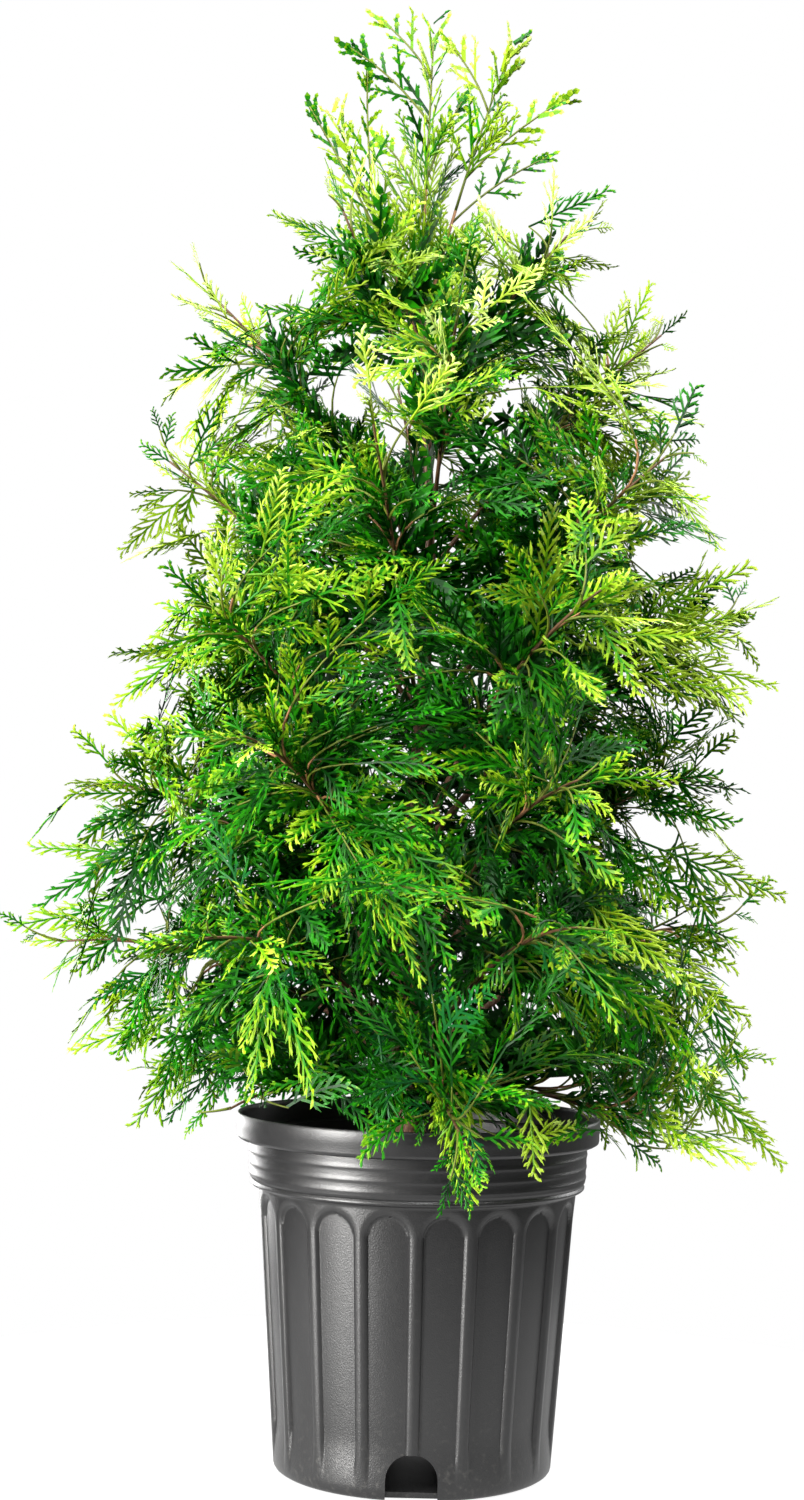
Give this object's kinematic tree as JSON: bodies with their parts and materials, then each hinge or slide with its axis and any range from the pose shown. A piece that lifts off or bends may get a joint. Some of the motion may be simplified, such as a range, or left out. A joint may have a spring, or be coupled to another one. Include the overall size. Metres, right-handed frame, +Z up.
{
  "type": "potted thuja",
  "caption": "Young evergreen shrub with flat scale-leaved sprays, a leaning leader and drooping lower boughs, in a round fluted nursery pot filled with soil.",
  "frame": {"origin": "middle of the pot's flat underside", "axes": "+Z up along the pot's axis and the trunk; the picture looks along +Y, with +X to its right"},
  "size_m": [0.372, 0.3438, 0.688],
  "materials": {
    "black_plastic": "satin",
    "potting_soil": "matte",
    "bark": "matte",
    "leaf_green": "satin"
  },
  "bodies": {
    "root": {"pot": "black_plastic", "soil": "potting_soil", "trunk": "bark", "bough_low_1": "bark", "bough_low_2": "bark", "bough_low_3": "bark", "bough_low_4": "bark", "bough_low_5": "bark", "bough_low_6": "bark", "bough_middle_1": "bark", "bough_middle_2": "bark", "bough_middle_3": "bark", "bough_middle_4": "bark", "bough_middle_5": "bark", "bough_middle_6": "bark", "bough_upper_1": "bark", "bough_upper_2": "bark", "bough_upper_3": "bark", "bough_upper_4": "bark", "bough_upper_5": "bark", "foliage_skirt_1": "leaf_green", "foliage_skirt_2": "leaf_green", "foliage_skirt_3": "leaf_green", "foliage_skirt_4": "leaf_green", "foliage_skirt_5": "leaf_green", "foliage_skirt_6": "leaf_green", "foliage_low_1": "leaf_green", "foliage_low_2": "leaf_green", "foliage_low_3": "leaf_green", "foliage_low_4": "leaf_green", "foliage_low_5": "leaf_green", "foliage_low_6": "leaf_green", "foliage_middle_1": "leaf_green", "foliage_middle_2": "leaf_green", "foliage_middle_3": "leaf_green", "foliage_middle_4": "leaf_green", "foliage_middle_5": "leaf_green", "foliage_middle_6": "leaf_green", "foliage_upper_1": "leaf_green", "foliage_upper_2": "leaf_green", "foliage_upper_3": "leaf_green", "foliage_upper_4": "leaf_green", "foliage_upper_5": "leaf_green", "foliage_high_1": "leaf_green", "foliage_high_2": "leaf_green", "foliage_high_3": "leaf_green", "foliage_high_4": "leaf_green", "foliage_high_5": "leaf_green", "foliage_shoulder_1": "leaf_green", "foliage_shoulder_2": "leaf_green", "foliage_shoulder_3": "leaf_green", "foliage_shoulder_4": "leaf_green", "foliage_neck_1": "leaf_green", "foliage_neck_2": "leaf_green", "foliage_neck_3": "leaf_green", "foliage_leader_main": "leaf_green", "foliage_leader_left": "leaf_green", "foliage_leader_right": "leaf_green"}
  },
  "joints": []
}
